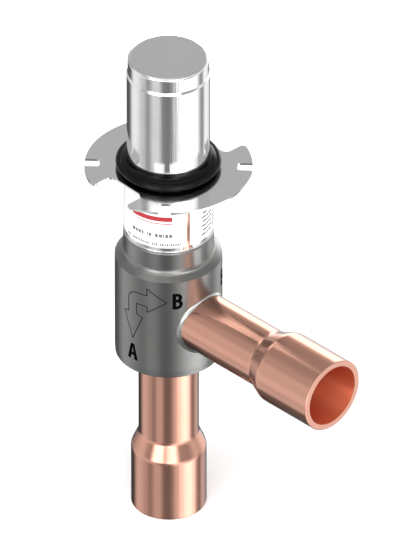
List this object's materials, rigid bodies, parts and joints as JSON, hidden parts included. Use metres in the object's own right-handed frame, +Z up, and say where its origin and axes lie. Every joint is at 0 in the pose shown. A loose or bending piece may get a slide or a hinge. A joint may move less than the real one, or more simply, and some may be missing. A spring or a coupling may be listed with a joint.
{
  "type": "electronic expansion valve",
  "caption": "Stepper-driven angle expansion valve with a bottom and a side copper solder port, a locking plate and a bare rotor can.",
  "frame": {"origin": "centre of the mouth of port A, the bottom socket", "axes": "+Z up the valve's axis from port A to the rotor can, +X along port B"},
  "size_m": [0.1094, 0.0556, 0.1883],
  "materials": {
    "satin_steel": "turned satin",
    "polished_steel": "mirror polished",
    "hard_steel": "ground",
    "copper": "bright drawn",
    "silver_braze": "smooth fillet",
    "bronze": "machined",
    "black_rubber": "moulded matt",
    "label_film": "white film",
    "fluoropolymer": "machined",
    "ferrite_magnet": "sintered"
  },
  "bodies": {
    "housing": {"valve_body": "satin_steel", "port_a_tube": "copper", "port_b_tube": "copper", "port_a_braze": "silver_braze", "port_b_braze": "silver_braze", "seat_gasket": "copper", "seat_ring": "hard_steel", "guide_sleeve": "bronze", "piston_seal": "fluoropolymer", "guide_key": "hard_steel", "bonnet": "polished_steel", "wrap_label": "label_film", "index_plate": "polished_steel", "coil_seal_ring": "black_rubber", "rotor_can": "polished_steel", "top_guide": "satin_steel", "top_bush": "bronze", "bearing_outer_race": "hard_steel", "bearing_lock_ring": "satin_steel"},
    "rotor": {"spindle": "hard_steel", "bearing_inner_race": "hard_steel", "spindle_circlip": "hard_steel", "rotor_hub": "satin_steel", "rotor_pin": "hard_steel", "rotor_magnet": "ferrite_magnet", "magnet_clip": "satin_steel"},
    "ball_cage": {"bearing_balls": "hard_steel", "bearing_cage": "bronze"},
    "piston": {"piston": "satin_steel", "piston_face": "fluoropolymer", "drive_nut": "bronze", "nut_pin": "hard_steel"}
  },
  "joints": [
    {"name": "rotor_spin", "type": "hinge", "parent": "housing", "child": "rotor", "pos_m": [0, 0, 0.1345], "axis": [0, 0, -1], "range_deg": [0, 4500]},
    {"name": "cage_spin", "type": "hinge", "parent": "housing", "child": "ball_cage", "pos_m": [0, 0, 0.1345], "axis": [0, 0, -1], "range_deg": [0, 1660]},
    {"name": "piston_lift", "type": "slide", "parent": "housing", "child": "piston", "axis": [0, 0, 1], "range_m": [0, 0.01]}
  ],
  "couplings": [
    {"joint": "piston_lift", "follows": "rotor_spin", "m_per_rad": 0.00012732},
    {"joint": "cage_spin", "follows": "rotor_spin", "ratio": 0.3677}
  ]
}
